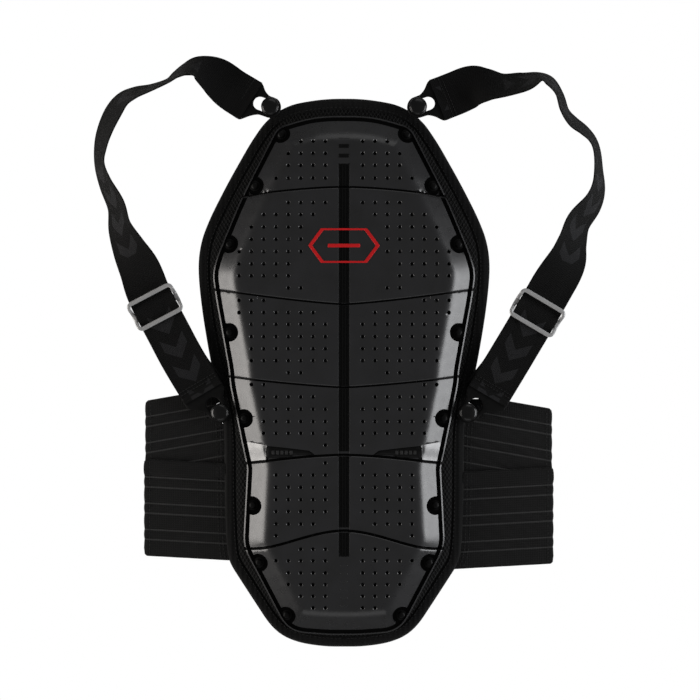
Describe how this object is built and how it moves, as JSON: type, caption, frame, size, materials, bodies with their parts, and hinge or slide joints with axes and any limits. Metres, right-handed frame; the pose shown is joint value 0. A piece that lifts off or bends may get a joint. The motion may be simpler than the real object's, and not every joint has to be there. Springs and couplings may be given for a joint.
{
  "type": "back protector",
  "caption": "Articulated back protector for riding: overlapping hard plates on a hinged padded panel, with elastic shoulder straps and a two-band waist belt on each side.",
  "frame": {"origin": "middle of the lumbar segment's inner face, the flat side that lies against the back", "axes": "+Y up the spine towards the neck, +X to the right seen from behind, +Z out of the wearer's back"},
  "size_m": [0.4505, 0.5195, 0.0389],
  "materials": {
    "plate": "satin-gloss moulded polymer",
    "core_foam": "honeycomb energy absorber",
    "pad_fabric": "black spacer mesh with bound edge",
    "rivet": "moulded rivet, matte",
    "dark_insert": "matte dark insert",
    "hinge_plastic": "moulded nylon",
    "steel": "bright steel",
    "emblem_red": "red raised badge",
    "patch": "hook-and-loop patch",
    "belt_elastic": "ribbed elastic",
    "strap_webbing": "woven elastic webbing",
    "fitting_plastic": "moulded nylon end fitting",
    "adjuster_metal": "satin grey metal",
    "button": "gloss black stud"
  },
  "bodies": {
    "segment_1": {"plate_1": "plate", "core_1": "core_foam", "pad_1": "pad_fabric", "rivets_1": "rivet", "spine_strip_1": "dark_insert", "hinge_lugs_1": "hinge_plastic", "buttons_top": "button"},
    "segment_2": {"plate_2": "plate", "core_2": "core_foam", "pad_2": "pad_fabric", "rivets_2": "rivet", "spine_strip_2": "dark_insert", "hinge_lugs_2": "hinge_plastic", "emblem": "emblem_red", "hinge_pins_1": "steel"},
    "segment_3": {"plate_3": "plate", "core_3": "core_foam", "pad_3": "pad_fabric", "rivets_3": "rivet", "spine_strip_3": "dark_insert", "hinge_lugs_3": "hinge_plastic", "hinge_pins_2": "steel"},
    "segment_4": {"plate_4": "plate", "core_4": "core_foam", "pad_4": "pad_fabric", "rivets_4": "rivet", "spine_strip_4": "dark_insert", "hinge_lugs_4": "hinge_plastic", "hinge_pins_3": "steel", "hinge_pins_4": "steel", "window_inserts": "dark_insert", "buttons_waist": "button", "waist_fittings": "fitting_plastic"},
    "segment_5": {"plate_5": "plate", "core_5": "core_foam", "pad_5": "pad_fabric", "rivets_5": "rivet", "spine_strip_5": "dark_insert", "hinge_lugs_5": "hinge_plastic", "hinge_pins_5": "steel"},
    "segment_6": {"plate_6": "plate", "core_6": "core_foam", "pad_6": "pad_fabric", "rivets_6": "rivet", "spine_strip_6": "dark_insert", "hinge_lugs_6": "hinge_plastic"},
    "left_strap": {"strap_left": "strap_webbing", "top_fitting_left": "fitting_plastic"},
    "left_adjuster": {"adjuster_left": "adjuster_metal"},
    "left_upper_band": {"belt_upper_left": "belt_elastic", "belt_patch_upper_left": "patch"},
    "left_lower_band": {"belt_lower_left": "belt_elastic", "belt_patch_lower_left": "patch"},
    "right_strap": {"strap_right": "strap_webbing", "top_fitting_right": "fitting_plastic"},
    "right_adjuster": {"adjuster_right": "adjuster_metal"},
    "right_upper_band": {"belt_upper_right": "belt_elastic", "belt_patch_upper_right": "patch"},
    "right_lower_band": {"belt_lower_right": "belt_elastic", "belt_patch_lower_right": "patch"}
  },
  "joints": [
    {"name": "flex_3", "type": "hinge", "parent": "segment_4", "child": "segment_3", "pos_m": [0, 0.037, 0.0132], "axis": [-1, 0, 0], "range_deg": [-2, 10]},
    {"name": "flex_2", "type": "hinge", "parent": "segment_3", "child": "segment_2", "pos_m": [0, 0.113, 0.0132], "axis": [-1, 0, 0], "range_deg": [-2, 10]},
    {"name": "flex_1", "type": "hinge", "parent": "segment_2", "child": "segment_1", "pos_m": [0, 0.192, 0.0132], "axis": [-1, 0, 0], "range_deg": [-2, 10]},
    {"name": "flex_4", "type": "hinge", "parent": "segment_4", "child": "segment_5", "pos_m": [0, -0.038, 0.0132], "axis": [1, 0, 0], "range_deg": [-0.6, 3]},
    {"name": "flex_5", "type": "hinge", "parent": "segment_5", "child": "segment_6", "pos_m": [0, -0.115, 0.0132], "axis": [1, 0, 0], "range_deg": [-0.6, 3]},
    {"name": "left_strap_swing", "type": "hinge", "parent": "segment_4", "child": "left_strap", "pos_m": [-0.127, 0.0255, 0.0125], "axis": [-1, 0, 0], "range_deg": [-4, 19.5]},
    {"name": "left_upper_band_wrap", "type": "hinge", "parent": "segment_4", "child": "left_upper_band", "pos_m": [-0.106, -0.015, 0.0015], "axis": [0, -1, 0], "range_deg": [0, 75]},
    {"name": "left_lower_band_wrap", "type": "hinge", "parent": "segment_5", "child": "left_lower_band", "pos_m": [-0.1054, -0.08, 0.0015], "axis": [0, -1, 0], "range_deg": [0, 75]},
    {"name": "right_strap_swing", "type": "hinge", "parent": "segment_4", "child": "right_strap", "pos_m": [0.127, 0.0255, 0.0125], "axis": [-1, 0, 0], "range_deg": [-4, 19.5]},
    {"name": "right_upper_band_wrap", "type": "hinge", "parent": "segment_4", "child": "right_upper_band", "pos_m": [0.106, -0.015, 0.0015], "axis": [0, 1, 0], "range_deg": [0, 75]},
    {"name": "right_lower_band_wrap", "type": "hinge", "parent": "segment_5", "child": "right_lower_band", "pos_m": [0.1054, -0.08, 0.0015], "axis": [0, 1, 0], "range_deg": [0, 75]},
    {"name": "left_adjuster_slide", "type": "slide", "parent": "left_strap", "child": "left_adjuster", "axis": [0.4655, -0.8851, 0], "range_m": [0, 0.03]},
    {"name": "right_adjuster_slide", "type": "slide", "parent": "right_strap", "child": "right_adjuster", "axis": [-0.5095, -0.8605, 0], "range_m": [0, 0.03]}
  ],
  "couplings": [
    {"joint": "flex_2", "follows": "flex_3", "ratio": 1},
    {"joint": "flex_1", "follows": "flex_3", "ratio": 1},
    {"joint": "flex_4", "follows": "flex_3", "ratio": 0.3},
    {"joint": "flex_5", "follows": "flex_3", "ratio": 0.3},
    {"joint": "left_strap_swing", "follows": "flex_3", "ratio": 1.92},
    {"joint": "right_strap_swing", "follows": "flex_3", "ratio": 1.92},
    {"joint": "left_lower_band_wrap", "follows": "left_upper_band_wrap", "ratio": 1},
    {"joint": "right_lower_band_wrap", "follows": "right_upper_band_wrap", "ratio": 1}
  ]
}
